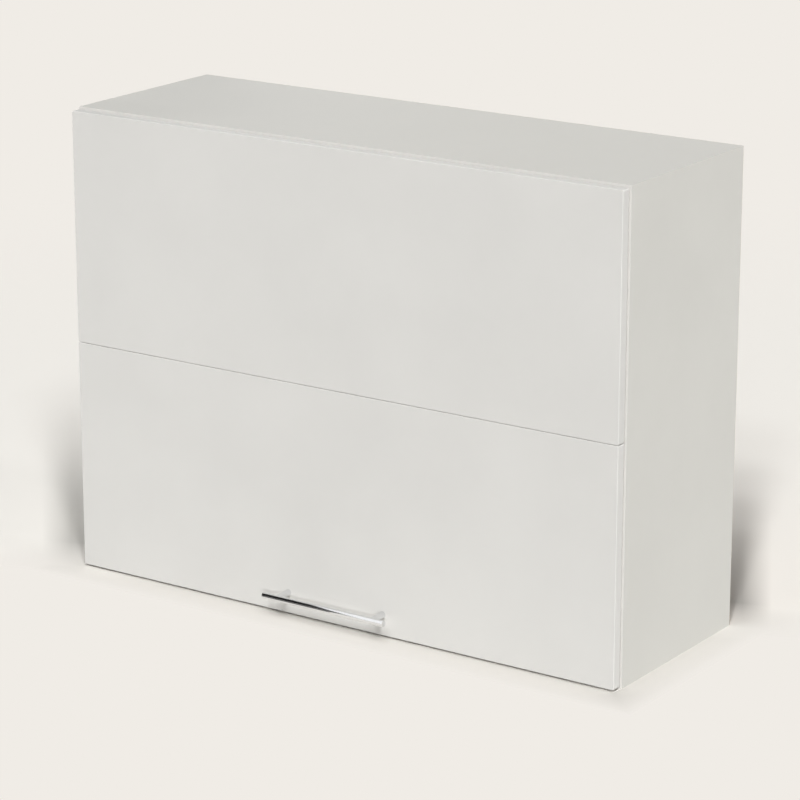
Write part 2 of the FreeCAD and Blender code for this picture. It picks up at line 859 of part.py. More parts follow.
nodes = {
    "top_panel": top_panel(),
    "bottom_panel": bottom_panel(),
    "back_panel": back_panel(),
    "shelf": shelf(),
    "edge_bands": group(edge_bands()),
    "shelf_pins": group(shelf_pins()),
    "cam_locks": group(cam_locks()),
    "cam_bolts": group(cam_bolts()),
    "dowels": group(dowels()),
    "hanger_screws": group(on_both(hanger_screws())),
    "lift_base_screws": group(on_both(base_screws())),
    "top_hinge_plate_screws": group(on_both(plate_screws())),
    "top_hinge_case_screws": group(on_both(case_screws())),
    "centre_hinge_upper_screws": group(on_both(leaf_screws(1))),
    "centre_hinge_lower_screws": group(on_both(leaf_screws(-1))),
    "bracket_screws": group(on_both(bracket_screws())),
    "handle_screws": group(both(handle_screw())),
    "front_bumpers": group(bumpers()),
    "upper_front": upper_front(),
    "lower_front": lower_front(),
    "handle_bar": handle_bar(),
}

pairs = {
    "side_panel": side_panel(),
    "hanger_body": hanger_body(),
    "hanger_hook": hanger_hook(),
    "hanger_cover": hanger_cover(),
    "top_hinge_plate": top_hinge_plate(),
    "top_hinge_arm": top_hinge_arm(),
    "top_hinge_pin": top_hinge_pin(),
    "top_hinge_case": top_hinge_case(),
    "centre_hinge_upper_leaf": upper_leaf(),
    "centre_hinge_lower_leaf": lower_leaf(),
    "centre_hinge_pin": centre_pin(),
    "lift_base": lift_base(),
    "lift_cover": lift_cover(),
    "lift_spring": lift_spring(),
    "lift_shaft": lift_shaft(),
    "lift_arm": lift_arm(),
    "arm_pin": arm_pin(),
    "arm_bracket": arm_bracket(),
    "handle_post": handle_post(),
}

for name, shape in pairs.items():
    nodes["right_" + name] = shape
    nodes["left_" + name] = mirrored(shape)

os.makedirs("parts", exist_ok=True)
for name, shape in nodes.items():
    shape.exportStep("parts/" + name + ".step")
print(len(nodes), "pieces written")
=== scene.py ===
import bpy
import bmesh
import math
from mathutils import Matrix, Vector


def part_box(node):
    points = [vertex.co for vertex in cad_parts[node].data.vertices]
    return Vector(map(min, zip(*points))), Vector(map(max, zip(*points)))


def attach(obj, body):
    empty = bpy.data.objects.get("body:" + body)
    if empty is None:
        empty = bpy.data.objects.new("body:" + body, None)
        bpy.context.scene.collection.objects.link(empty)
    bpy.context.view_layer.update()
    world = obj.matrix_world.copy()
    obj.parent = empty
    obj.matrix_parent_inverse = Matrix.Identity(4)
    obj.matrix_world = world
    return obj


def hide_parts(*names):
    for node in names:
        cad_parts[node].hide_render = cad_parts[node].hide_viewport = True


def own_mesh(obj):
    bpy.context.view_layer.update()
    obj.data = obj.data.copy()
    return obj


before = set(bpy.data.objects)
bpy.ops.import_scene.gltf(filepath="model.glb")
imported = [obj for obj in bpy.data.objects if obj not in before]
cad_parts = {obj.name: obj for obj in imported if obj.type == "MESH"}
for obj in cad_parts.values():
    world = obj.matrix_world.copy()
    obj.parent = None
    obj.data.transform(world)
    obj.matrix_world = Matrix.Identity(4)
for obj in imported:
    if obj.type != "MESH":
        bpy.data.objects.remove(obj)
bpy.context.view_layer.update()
scene = bpy.context.scene
mm = 0.001
sides = {"left": -1, "right": 1}
print("frame loaded:", len(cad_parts), "pieces")

# settings that many nodes share
colours = {"data_type": "RGBA"}
times = {"operation": "MULTIPLY"}
minus = {"operation": "SUBTRACT"}
most = {"operation": "MAXIMUM"}
positive = {"operation": "ABSOLUTE"}
below = {"operation": "LESS_THAN"}
above = {"operation": "GREATER_THAN"}
timesPlus = {"operation": "MULTIPLY_ADD"}
dot = {"operation": "DOT_PRODUCT"}


# sRGB hex to the linear values that shaders take
def ink(hexCode):
    parts = [int(hexCode[i:i + 2], 16) / 255 for i in (1, 3, 5)]
    return [p / 12.92 if p <= 0.04045 else ((p + 0.055) / 1.055) ** 2.4 for p in parts] + [1.0]


# adds a node: settings by name, inputs by socket name or number, a link where the value is a socket,
# or a node, which gives its first output
def add(tree, kind, settings=None, **inputs):
    node = tree.nodes.new(kind)
    for key, value in (settings or {}).items():
        setattr(node, key, value)
    for key, value in inputs.items():
        index = int(key[1:]) if key[0] == "i" and key[1:].isdigit() else key.replace("_", " ")
        socket = node.inputs[index]
        if isinstance(value, bpy.types.Node):
            value = value.outputs[0]
        if isinstance(value, bpy.types.NodeSocket):
            tree.links.new(value, socket)
        else:
            socket.default_value = value
    return node


# what the finishes share: the band that holds most noise values, the noises' detail, the bump
coatNoise = {"low": 0.35, "high": 0.65, "cloudDetail": 3.0, "grainDetail": 2.0, "bump": 0.6}


# a finish from one dictionary: cloudy colour, uneven gloss and a fine relief, all in millimetres
def coat(name, look):
    material = bpy.data.materials.new(name)
    material.use_nodes = True
    tree = material.node_tree
    tree.nodes.clear()
    low, high = coatNoise["low"], coatNoise["high"]
    place = add(tree, "ShaderNodeTexCoord").outputs["Object"]
    along = add(tree, "ShaderNodeMapping", Vector=place, Scale=look.get("stretch", (1, 1, 1)))
    cloud = add(tree, "ShaderNodeTexNoise", Vector=along, Scale=1 / (look["cloudMm"] * mm),
                Detail=coatNoise["cloudDetail"]).outputs["Fac"]
    mixed = add(tree, "ShaderNodeMapRange", Value=cloud, From_Min=low, From_Max=high)
    colour = add(tree, "ShaderNodeMix", colours, i0=mixed, i6=ink(look["deep"]),
                 i7=ink(look["pale"])).outputs[2]
    gloss = add(tree, "ShaderNodeMapRange", Value=cloud, From_Min=low, From_Max=high,
                To_Min=look["rough"][0], To_Max=look["rough"][1])
    grain = add(tree, "ShaderNodeTexNoise", Vector=along, Scale=1 / (look["grainMm"] * mm),
                Detail=coatNoise["grainDetail"]).outputs["Fac"]
    relief = add(tree, "ShaderNodeBump", Height=grain, Distance=look["grainDeep"] * mm,
                 Strength=coatNoise["bump"])
    shader = add(tree, "ShaderNodeBsdfPrincipled", Base_Color=colour, Roughness=gloss,
                 Normal=relief, Metallic=look.get("metal", 0.0))
    for key, socket in (("ior", "IOR"), ("clear", "Transmission Weight")):
        if key in look:
            shader.inputs[socket].default_value = look[key]
    add(tree, "ShaderNodeOutputMaterial", Surface=shader)
    return material, tree, shader, place, colour


def dress(material, *names):
    for name in names:
        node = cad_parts[name]
        node.data.materials.clear()
        node.data.materials.append(material)


# satin white lacquer on the fronts, sprayed and rubbed: almost even white with faint clouds
# and a soft sheen (orange peel is really 1 to 2 mm wide, drawn coarser so that it shows)
frontLacquer = {"pale": "#dbdad7", "deep": "#d8d7d4", "cloudMm": 160.0, "grainMm": 5.0,
                "grainDeep": 0.02, "rough": (0.38, 0.44), "ior": 1.5}
dress(coat("satin_white_lacquer", frontLacquer)[0], "upper_front", "lower_front")

# melamine-faced chipboard: a pressed paper skin with a fine pearl relief, flatter and greyer than
# the lacquer; its cut edges, at the rear and round the hood's opening, show tan chips of 1 to 4 mm
boardFace = {"pale": "#d6d5d0", "deep": "#d3d2cd", "cloudMm": 120.0, "grainMm": 2.0,
             "grainDeep": 0.02, "rough": (0.46, 0.54), "ior": 1.5}
rawEdge = {"chipMm": 2.6, "dark": "#8c6a45", "light": "#c9aa7c", "rearY": 172.1,
           "hoodHalfX": 340.3, "hoodFrontY": -103.0, "hoodBackY": 137.5, "hoodTop": 15.9}


def melamineBoard():
    material, tree, shader, place, white = coat("white_melamine_chipboard", boardFace)
    chips = add(tree, "ShaderNodeTexVoronoi", Vector=place, Scale=1 / (rawEdge["chipMm"] * mm))
    shade = add(tree, "ShaderNodeSeparateColor", Color=chips.outputs["Color"])
    chip = add(tree, "ShaderNodeMix", colours, i0=shade, i6=ink(rawEdge["dark"]),
               i7=ink(rawEdge["light"])).outputs[2]
    spot = add(tree, "ShaderNodeSeparateXYZ", Vector=place).outputs
    halfX, y0, y1, top, rearY = [rawEdge[key] * mm for key in (
        "hoodHalfX", "hoodFrontY", "hoodBackY", "hoodTop", "rearY")]
    acrossX = add(tree, "ShaderNodeMath", positive, i0=spot["X"])
    inX = add(tree, "ShaderNodeMath", below, i0=acrossX, i1=halfX)
    fromMiddle = add(tree, "ShaderNodeMath", minus, i0=spot["Y"], i1=(y0 + y1) / 2)
    acrossY = add(tree, "ShaderNodeMath", positive, i0=fromMiddle)
    inY = add(tree, "ShaderNodeMath", below, i0=acrossY, i1=(y1 - y0) / 2)
    inZ = add(tree, "ShaderNodeMath", below, i0=spot["Z"], i1=top)
    plan = add(tree, "ShaderNodeMath", times, i0=inX, i1=inY)
    hood = add(tree, "ShaderNodeMath", times, i0=plan, i1=inZ)
    rear = add(tree, "ShaderNodeMath", above, i0=spot["Y"], i1=rearY)
    raw = add(tree, "ShaderNodeMath", most, i0=hood, i1=rear)
    skin = add(tree, "ShaderNodeMix", colours, i0=raw, i6=white, i7=chip)
    tree.links.new(skin.outputs[2], shader.inputs["Base Color"])
    return material


dress(melamineBoard(), "left_side_panel", "right_side_panel", "top_panel", "bottom_panel", "shelf")

# extruded ABS edge band, smoother than the board's face, with faint draw lines
# painted light: its colour is set brighter than the board's, to lift the shade in the gap behind the
# fronts
edgeBandWithPaintedLight = {"pale": "#dfddd9", "deep": "#dbd9d5", "cloudMm": 60.0, "grainMm": 1.5,
            "grainDeep": 0.015, "rough": (0.36, 0.42), "ior": 1.53}
dress(coat("white_abs_edge_band", edgeBandWithPaintedLight)[0], "edge_bands")

# hardboard back: painted white inside, and on the wall side the bare brown face with the mesh
# that the press screen leaves
hardboard = {"pale": "#dad7cf", "deep": "#d3d0c8", "cloudMm": 90.0, "grainMm": 3.0,
             "grainDeep": 0.03, "rough": (0.5, 0.6)}
bareBack = {"dark": "#7d5a3a", "light": "#93704b", "fibreMm": 9.0, "fibreDetail": 6.0,
            "meshMm": 4.0, "meshJitter": 0.1, "meshDeep": 0.3, "faceY": 153.6}


def hardboardBack():
    material, tree, shader, place, white = coat("painted_hardboard", hardboard)
    fibre = add(tree, "ShaderNodeTexNoise", Vector=place, Scale=1 / (bareBack["fibreMm"] * mm),
                Detail=bareBack["fibreDetail"]).outputs["Fac"]
    brown = add(tree, "ShaderNodeMix", colours, i0=fibre, i6=ink(bareBack["dark"]),
                i7=ink(bareBack["light"])).outputs[2]
    spot = add(tree, "ShaderNodeSeparateXYZ", Vector=place).outputs
    behind = add(tree, "ShaderNodeMath", above, i0=spot["Y"], i1=bareBack["faceY"] * mm)
    skin = add(tree, "ShaderNodeMix", colours, i0=behind, i6=white, i7=brown)
    tree.links.new(skin.outputs[2], shader.inputs["Base Color"])
    mesh = add(tree, "ShaderNodeTexVoronoi", Vector=place, Scale=1 / (bareBack["meshMm"] * mm),
               Randomness=bareBack["meshJitter"]).outputs["Distance"]
    screen = add(tree, "ShaderNodeMath", times, i0=mesh, i1=behind)
    relief = add(tree, "ShaderNodeBump", Height=screen, Distance=bareBack["meshDeep"] * mm)
    tree.links.new(relief.outputs[0], shader.inputs["Normal"])
    return material


dress(hardboardBack(), "back_panel")

# polished chrome plate: mirror bright, with the faintest wiped haze along the rod
chromePlate = {"pale": "#eeeff0", "deep": "#e6e7e9", "cloudMm": 30.0, "grainMm": 12.0,
               "grainDeep": 0.004, "stretch": (0.3, 1, 1), "rough": (0.04, 0.08), "metal": 1.0}
dress(coat("polished_chrome", chromePlate)[0], "handle_bar", "left_handle_post", "right_handle_post")

# nickel-plated pressed steel: warm grey metal, satin from the press, with slight mottling
nickelPlate = {"pale": "#cac8c3", "deep": "#bebcb6", "cloudMm": 9.0, "grainMm": 1.5,
               "grainDeep": 0.001, "rough": (0.27, 0.35), "metal": 1.0}
nickel = coat("nickel_plated_steel", nickelPlate)[0]
plainHardware = ["hanger_screws", "lift_base_screws", "top_hinge_plate_screws",
                 "top_hinge_case_screws", "cam_bolts", "centre_hinge_upper_screws",
                 "centre_hinge_lower_screws", "bracket_screws", "handle_screws"]
for side in sides:
    plainHardware += [side + "_" + name for name in (
        "hanger_hook", "top_hinge_plate", "top_hinge_arm", "top_hinge_pin", "top_hinge_case",
        "lift_base", "centre_hinge_upper_leaf", "centre_hinge_lower_leaf", "centre_hinge_pin",
        "lift_shaft", "lift_arm", "arm_pin", "arm_bracket")]
dress(nickel, *plainHardware)

# zinc die castings: duller and greyer than the pressed steel, with a grainy cast skin
zincCast = {"pale": "#a9a9a6", "deep": "#92928f", "cloudMm": 4.0, "grainMm": 0.8,
            "grainDeep": 0.008, "rough": (0.38, 0.52), "metal": 1.0}
dress(coat("zinc_die_casting", zincCast)[0], "cam_locks", "shelf_pins")

# moulded ABS covers: pale grey white with a fine spark texture, half a millimetre, drawn at one
mouldedCover = {"pale": "#d9d9d7", "deep": "#d3d3d0", "cloudMm": 40.0, "grainMm": 1.0,
                "grainDeep": 0.04, "rough": (0.42, 0.5), "ior": 1.53}
mouldedAbs = coat("moulded_abs", mouldedCover)[0]
for side in sides:
    dress(mouldedAbs, side + "_hanger_body", side + "_hanger_cover", side + "_lift_cover")

# beech dowels: pale brown with fluted grain along their length
beechDowel = {"pale": "#cfa878", "deep": "#b98e5d", "cloudMm": 3.0, "grainMm": 1.2,
              "grainDeep": 0.08, "stretch": (0.15, 1, 1), "rough": (0.55, 0.7)}
dress(coat("plain_beech", beechDowel)[0], "dowels")

# hard drawn spring wire: dark grey steel with an oily gloss and draw marks
springWire = {"pale": "#8f9092", "deep": "#77787b", "cloudMm": 5.0, "grainMm": 0.8,
              "grainDeep": 0.002, "rough": (0.25, 0.34), "metal": 1.0}
springSteel = coat("drawn_spring_steel", springWire)[0]
dress(springSteel, "left_lift_spring", "right_lift_spring")

# soft clear polyurethane: milky see-through pads with a wet gloss
gelPad = {"pale": "#e4e3df", "deep": "#dcdbd6", "cloudMm": 6.0, "grainMm": 2.0,
          "grainDeep": 0.01, "rough": (0.12, 0.2), "ior": 1.49, "clear": 0.55}
softGel = coat("soft_clear_polyurethane", gelPad)[0]
dress(softGel, "front_bumpers")
print("materials on", len(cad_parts), "pieces")


# runs a tree of Geometry Nodes on a few points, or on the path through them, and keeps the result
# as a plain mesh
def grown(name, points, tree, values, path=False):
    seeds = bpy.data.meshes.new(name)
    edges = [(i, i + 1) for i in range(len(points) - 1)] if path else []
    seeds.from_pydata([[size * mm for size in point] for point in points], edges, [])
    piece = bpy.data.objects.new(name, seeds)
    scene.collection.objects.link(piece)
    modifier = piece.modifiers.new("grow", "NODES")
    modifier.node_group = tree
    for item in tree.interface.items_tree:
        if item.in_out == "INPUT" and item.name in values:
            modifier[item.identifier] = values[item.name]
    graph = bpy.context.evaluated_depsgraph_get()
    mesh = bpy.data.meshes.new_from_object(piece.evaluated_get(graph))
    piece.modifiers.remove(modifier)
    piece.data = mesh
    return piece


# an empty tree with the inputs that its piece sets
def growTree(name, inputs):
    tree = bpy.data.node_groups.new(name, "GeometryNodeTree")
    tree.interface.new_socket("Geometry", in_out="INPUT", socket_type="NodeSocketGeometry")
    for label, kind in inputs.items():
        tree.interface.new_socket(label, in_out="INPUT", socket_type="NodeSocket" + kind)
    tree.interface.new_socket("Geometry", in_out="OUTPUT", socket_type="NodeSocketGeometry")
    return tree, add(tree, "NodeGroupInput").outputs


# how a rib is drawn: steps along and around it, how soon it is full and how thin its tips are
ribShape = {"along": 24, "around": 14, "steep": 10.0, "tip": 0.15}


# a row of moulded ribs: half-round bars that taper out at both ends
def ribTree():
    tree, given = growTree("mouldedRibs", {"Count": "Int", "Pitch": "Float", "Length": "Float",
                                           "Radius": "Float", "Finish": "Material"})
    step = add(tree, "ShaderNodeCombineXYZ", Y=given["Pitch"])
    row = add(tree, "GeometryNodeMeshLine", Count=given["Count"], Offset=step)
    rows = add(tree, "GeometryNodeInstanceOnPoints", Points=given["Geometry"], Instance=row)
    laid = add(tree, "GeometryNodeRealizeInstances", Geometry=rows)
    tall = add(tree, "ShaderNodeCombineXYZ", Z=given["Length"])
    line = add(tree, "GeometryNodeCurvePrimitiveLine", End=tall)
    fine = add(tree, "GeometryNodeResampleCurve", Curve=line, Count=ribShape["along"])
    part = add(tree, "GeometryNodeSplineParameter").outputs["Factor"]
    rest = add(tree, "ShaderNodeMath", minus, i0=1.0, i1=part)
    bow = add(tree, "ShaderNodeMath", times, i0=part, i1=rest)
    full = add(tree, "ShaderNodeMath", timesPlus, i0=bow, i1=ribShape["steep"], i2=ribShape["tip"])
    taper = add(tree, "ShaderNodeMath", {"operation": "MINIMUM"}, i0=full, i1=1.0)
    ring = add(tree, "GeometryNodeCurvePrimitiveCircle", Resolution=ribShape["around"],
               Radius=given["Radius"])
    bar = add(tree, "GeometryNodeCurveToMesh", Curve=fine, Profile_Curve=ring, Scale=taper,
              Fill_Caps=True)
    ribs = add(tree, "GeometryNodeInstanceOnPoints", Points=laid, Instance=bar)
    solid = add(tree, "GeometryNodeRealizeInstances", Geometry=ribs)
    done = add(tree, "GeometryNodeSetMaterial", Geometry=solid, Material=given["Finish"])
    add(tree, "NodeGroupOutput", Geometry=done)
    return tree


ribs = ribTree()
# grip ribs on the lift covers and the hanger covers, half sunk in the moulding
liftRibs = {"count": 11, "pitch": 6.0, "length": 28.0, "radius": 0.9, "startY": -18.0,
            "startZ": 625.0}
hangerRibs = {"count": 5, "pitch": 4.0, "length": 22.0, "radius": 0.6, "startY": 127.0,
              "startZ": 617.0}
for side, way in sides.items():
    for look, cover, name in ((liftRibs, "_lift_cover", "_lift_cover_ribs"),
                              (hangerRibs, "_hanger_cover", "_hanger_cover_ribs")):
        low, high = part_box(side + cover)
        face = (low.x if way > 0 else high.x) / mm
        piece = grown(side + name, [(face, look["startY"], look["startZ"])], ribs,
                      {"Count": look["count"], "Pitch": look["pitch"] * mm,
                       "Length": look["length"] * mm, "Radius": look["radius"] * mm,
                       "Finish": mouldedAbs})
        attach(piece, "carcass")
print("ribs on the covers")


# a ring of points, and the band of faces between two such rings
def hoop(bm, radius, z, count):
    turn = [2 * math.pi * i / count for i in range(count)]
    return [bm.verts.new((radius * math.cos(a), radius * math.sin(a), z)) for a in turn]


def wall(bm, lower, upper, smooth=False):
    for i in range(len(lower)):
        k = (i + 1) % len(lower)
        bm.faces.new((lower[i], lower[k], upper[k], upper[i])).smooth = smooth


# a small part drawn in millimetres, as an object in metres to be set on points
def smallPart(bm, name):
    bmesh.ops.recalc_face_normals(bm, faces=bm.faces)
    mesh = bpy.data.meshes.new(name)
    bm.to_mesh(mesh)
    bm.free()
    mesh.transform(Matrix.Scale(mm, 4))
    part = bpy.data.objects.new(name, mesh)
    scene.collection.objects.link(part)
    return part


# a screw head with a cross recess; its top faces +Z
def screwHead(look):
    bm = bmesh.new()
    r, rise, bevel, arm, deep, taper = [look[key] for key in (
        "radius", "rise", "bevel", "arm", "deep", "taper")]
    w = look["width"] / 2
    count = look["around"]
    rings = [hoop(bm, radius, z, count) for radius, z in (
        (r, 0.0), (r, rise - bevel), (r - bevel, rise))]
    for lower, upper in zip(rings, rings[1:]):
        wall(bm, lower, upper)
    bm.faces.new(list(reversed(rings[0])))
    cross = [(arm, -w), (arm, w), (w, w), (w, arm), (-w, arm), (-w, w), (-arm, w), (-arm, -w),
             (-w, -w), (-w, -arm), (w, -arm), (w, -w)]
    corners = len(cross)
    upper = [bm.verts.new((x, y, rise)) for x, y in cross]
    lower = [bm.verts.new((x * taper, y * taper, rise - deep)) for x, y in cross]
    edges = [bm.edges.new((upper[i], upper[(i + 1) % corners])) for i in range(corners)]
    edges += [bm.edges.get((rings[2][i], rings[2][(i + 1) % count])) for i in range(count)]
    bmesh.ops.triangle_fill(bm, edges=edges, use_beauty=True, normal=(0, 0, 1))
    wall(bm, upper, lower)
    bm.faces.new(lower)
    return smallPart(bm, "screw_head")


# a soft dome with a rounded skirt, flat at the back; its top faces +Z
def padDome(look):
    bm = bmesh.new()
    count, steps, skirt = look["around"], look["steps"], look["skirt"]
    rings = [hoop(bm, look["radius"], 0.0, count)]
    for i in range(steps):
        a = math.pi / 2 * i / steps
        rings.append(hoop(bm, look["radius"] * math.cos(a) ** look["curl"],
                          look["rise"] * (skirt + (1 - skirt) * math.sin(a)), count))
    tip = bm.verts.new((0, 0, look["rise"]))
    for lower, upper in zip(rings, rings[1:]):
        wall(bm, lower, upper, smooth=True)
    for i in range(count):
        bm.faces.new((rings[-1][i], rings[-1][(i + 1) % count], tip)).smooth = True
    bm.faces.new(list(reversed(rings[0])))
    return smallPart(bm, "pad_dome")


# sets one small part on every point, all turned the same way
def settingTree():
    tree, given = growTree("smallParts", {"Part": "Object", "Turn": "Rotation", "Finish": "Material"})
    info = add(tree, "GeometryNodeObjectInfo", Object=given["Part"])
    copies = add(tree, "GeometryNodeInstanceOnPoints", Points=given["Geometry"],
                 Instance=info.outputs["Geometry"], Rotation=given["Turn"])
    solid = add(tree, "GeometryNodeRealizeInstances", Geometry=copies)
    done = add(tree, "GeometryNodeSetMaterial", Geometry=solid, Material=given["Finish"])
    add(tree, "NodeGroupOutput", Geometry=done)
    return tree


setting = settingTree()
# two adjusting screws in the underside of each top hinge arm
hingeScrews = {"radius": 3.6, "rise": 1.3, "bevel": 0.4, "arm": 2.2, "width": 0.9, "deep": 1.0,
               "taper": 0.7, "around": 28, "backs": (16.0, 31.0)}
head = screwHead(hingeScrews)
places = []
for side in sides:
    low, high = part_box(side + "_top_hinge_plate")
    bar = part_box(side + "_top_hinge_arm")[0]
    middle = (low.x + high.x) / 2 / mm
    places += [(middle, low.y / mm + back, bar.z / mm) for back in hingeScrews["backs"]]
adjusters = grown("top_hinge_adjusting_screws", places, setting,
                  {"Part": head, "Turn": (math.pi, 0, 0), "Finish": nickel})
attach(adjusters, "carcass")
bpy.data.objects.remove(head)

# gel pads on the lower front, where it meets the carcass
gelDome = {"radius": 4.0, "rise": 1.9, "skirt": 0.25, "curl": 0.55, "around": 32, "steps": 8}
dome = padDome(gelDome)
low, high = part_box("front_bumpers")
r = gelDome["radius"]
places = [(x, low.y / mm, z) for x in (low.x / mm + r, high.x / mm - r)
          for z in (low.z / mm + r, high.z / mm - r)]
pads = grown("front_pads", places, setting,
             {"Part": dome, "Turn": (-math.pi / 2, 0, 0), "Finish": softGel})
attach(pads, "lower_front")
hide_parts("front_bumpers")
bpy.data.objects.remove(dome)
print("hinge screws and pads set")


# round wire along a path
def wireTree():
    tree, given = growTree("bentWire", {"Wire": "Float", "Around": "Int", "Finish": "Material"})
    line = add(tree, "GeometryNodeMeshToCurve", Mesh=given["Geometry"])
    ring = add(tree, "GeometryNodeCurvePrimitiveCircle", Resolution=given["Around"],
               Radius=given["Wire"])
    wire = add(tree, "GeometryNodeCurveToMesh", Curve=line, Profile_Curve=ring, Fill_Caps=True)
    smooth = add(tree, "GeometryNodeSetShadeSmooth", Geometry=wire)
    solid = add(tree, "GeometryNodeRealizeInstances", Geometry=smooth)
    done = add(tree, "GeometryNodeSetMaterial", Geometry=solid, Material=given["Finish"])
    add(tree, "NodeGroupOutput", Geometry=done)
    return tree


bentWire = wireTree()
# tension springs in the lifts, from the crank's pin to the post: eye, tail, bends, turns, and the
# same again; the pin's end comes back and down as the arm rises, by the shift given here, which is
# read but not applied
liftCoil = {"x": 417.0, "z": 651.124, "pinY": -95.75, "postY": 45.25, "eye": 4.2, "tail": 18.0,
            "radius": 5.0, "bend": 1.5, "turns": 26, "wire": 1.1, "shift": (19.36, -5.57),
            "steps": 24, "bendSteps": 4, "bendTakes": 2, "around": 12}
for side, way in sides.items():
    x, z, pinY, postY = [liftCoil[key] for key in ("x", "z", "pinY", "postY")]
    eye, tail, r, bend = [liftCoil[key] for key in ("eye", "tail", "radius", "bend")]
    steps, bendSteps, bendTakes = [liftCoil[key] for key in ("steps", "bendSteps", "bendTakes")]
    x *= way
    firstY, lastY = pinY + tail, postY - tail
    turn = [2 * math.pi * i / steps for i in range(steps + 1)]
    quarter = [math.pi / 2 * i / bendSteps for i in range(bendSteps + 1)]
    end = [(x, pinY + eye * math.cos(a), z + eye * math.sin(a)) for a in turn]
    end += [(x + bend * (1 - math.cos(a)), firstY - bend * (1 - math.sin(a)), z) for a in quarter]
    end += [(x + r - bend * (1 - math.sin(a)), firstY, z + bend * (1 - math.cos(a))) for a in quarter]
    count = liftCoil["turns"] * steps
    turns = []
    for i in range(bendTakes, count - bendTakes + 1):
        a = 2 * math.pi * i / steps
        turns.append((x + r * math.cos(a), firstY + (lastY - firstY) * i / count,
                      z + r * math.sin(a)))
    otherEnd = [(px, pinY + postY - py, 2 * z - pz) for px, py, pz in reversed(end)]
    coil = grown(side + "_lift_coil", end + turns + otherEnd, bentWire,
                 {"Wire": liftCoil["wire"] * mm, "Around": liftCoil["around"], "Finish": springSteel},
                 path=True)
    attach(coil, "carcass")
    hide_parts(side + "_lift_spring")
    back, down = liftCoil["shift"]
    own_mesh(coil)
print("springs wound")

# camera at the photograph's angle, for an 800 x 800 image
shot = {"place": (2.4752, -3.5983, 1.5765), "back": (0.5416, -0.7919, 0.2820), "lens": 146.82,
        "sensor": 36.0, "clip": 200.0}
camera = bpy.data.objects.new("camera", bpy.data.cameras.new("camera"))
scene.collection.objects.link(camera)
camera.location = shot["place"]
camera.rotation_euler = (-Vector(shot["back"])).to_track_quat("-Z", "Y").to_euler()
camera.data.sensor_width = shot["sensor"]
camera.data.lens = shot["lens"]
camera.data.clip_end = shot["clip"]
scene.camera = camera


# 1 for the rays that show a thing: straight, mirrored or through something clear
def seenRays(tree):
    ray = add(tree, "ShaderNodeLightPath").outputs
    seen = ray["Is Camera Ray"]
    for kind in ("Is Glossy Ray", "Is Transmission Ray"):
        seen = add(tree, "ShaderNodeMath", most, i0=seen, i1=ray[kind]).outputs[0]
    return seen


# pale paper floor: matt behind the cabinet, where its shadow falls, and the background's even tone
# far off and in front, with painted shade on the paper close to the front; in metres
floorSheet = {"half": 60.0, "near": "#fbf8f2", "far": "#f0ece6", "paintedShadeByFront": "#d7d4ce",
              "bounce": "#c1bfba", "fadeFrom": 1.3, "fadeTo": 2.6, "line": (-0.3266, 0.9452, 0.0),
              "lineFrom": 0.12, "lineTo": -0.02, "dimFrom": 0.10, "dimTo": -0.04,
              "frontY": -0.13875, "backY": 0.17225, "sideX": 0.45, "edge": 0.055, "reach": 0.14,
              "under": -0.002}
half = floorSheet["half"]
floorMesh = bpy.data.meshes.new("floor")
floorMesh.from_pydata([(-half, -half, 0), (half, -half, 0), (half, half, 0), (-half, half, 0)],
                      [], [(0, 1, 2, 3)])
floor = bpy.data.objects.new("floor", floorMesh)
scene.collection.objects.link(floor)
paper = bpy.data.materials.new("pale_paper")
paper.use_nodes = True
tree = paper.node_tree
tree.nodes.clear()
place = add(tree, "ShaderNodeTexCoord").outputs["Object"]
spot = add(tree, "ShaderNodeSeparateXYZ", Vector=place).outputs
seen = seenRays(tree)
# depth behind the line through the left front and right rear corners, and distance out of the
# footprint to the front or to a side
depth = add(tree, "ShaderNodeVectorMath", dot, i0=place, i1=floorSheet["line"]).outputs["Value"]
ahead = add(tree, "ShaderNodeMath", minus, i0=floorSheet["frontY"], i1=spot["Y"])
across = add(tree, "ShaderNodeMath", positive, i0=spot["X"])
aside = add(tree, "ShaderNodeMath", minus, i0=across, i1=floorSheet["sideX"])
outside = add(tree, "ShaderNodeMath", most, i0=ahead, i1=aside)

# share of the even tone
away = add(tree, "ShaderNodeVectorMath", {"operation": "LENGTH"}, i0=place).outputs["Value"]
far = add(tree, "ShaderNodeMapRange", Value=away, From_Min=floorSheet["fadeFrom"],
          From_Max=floorSheet["fadeTo"])
front = add(tree, "ShaderNodeMapRange", Value=depth, From_Min=floorSheet["lineFrom"],
            From_Max=floorSheet["lineTo"])
clear = add(tree, "ShaderNodeMapRange", Value=outside, From_Min=0.0, From_Max=floorSheet["edge"])
front = add(tree, "ShaderNodeMath", times, i0=front, i1=clear)
fade = add(tree, "ShaderNodeMath", most, i0=far, i1=front)
even = add(tree, "ShaderNodeMath", times, i0=fade, i1=seen)

# painted shade: the paper is made darker close to the front and the right side, where all the
# lamps reach, but not underneath
dim = add(tree, "ShaderNodeMapRange", Value=depth, From_Min=floorSheet["dimFrom"],
          From_Max=floorSheet["dimTo"])
close = add(tree, "ShaderNodeMapRange", Value=outside, From_Min=floorSheet["reach"],
            From_Max=floorSheet["edge"])
behind = add(tree, "ShaderNodeMath", minus, i0=spot["Y"], i1=floorSheet["backY"])
around = add(tree, "ShaderNodeMath", most, i0=outside, i1=behind)
bare = add(tree, "ShaderNodeMath", above, i0=around, i1=floorSheet["under"])
strip = add(tree, "ShaderNodeMath", times, i0=close, i1=bare)
dim = add(tree, "ShaderNodeMath", times, i0=dim, i1=strip)
lit = add(tree, "ShaderNodeMix", colours, i0=dim, i6=ink(floorSheet["near"]),
          i7=ink(floorSheet["paintedShadeByFront"])).outputs[2]

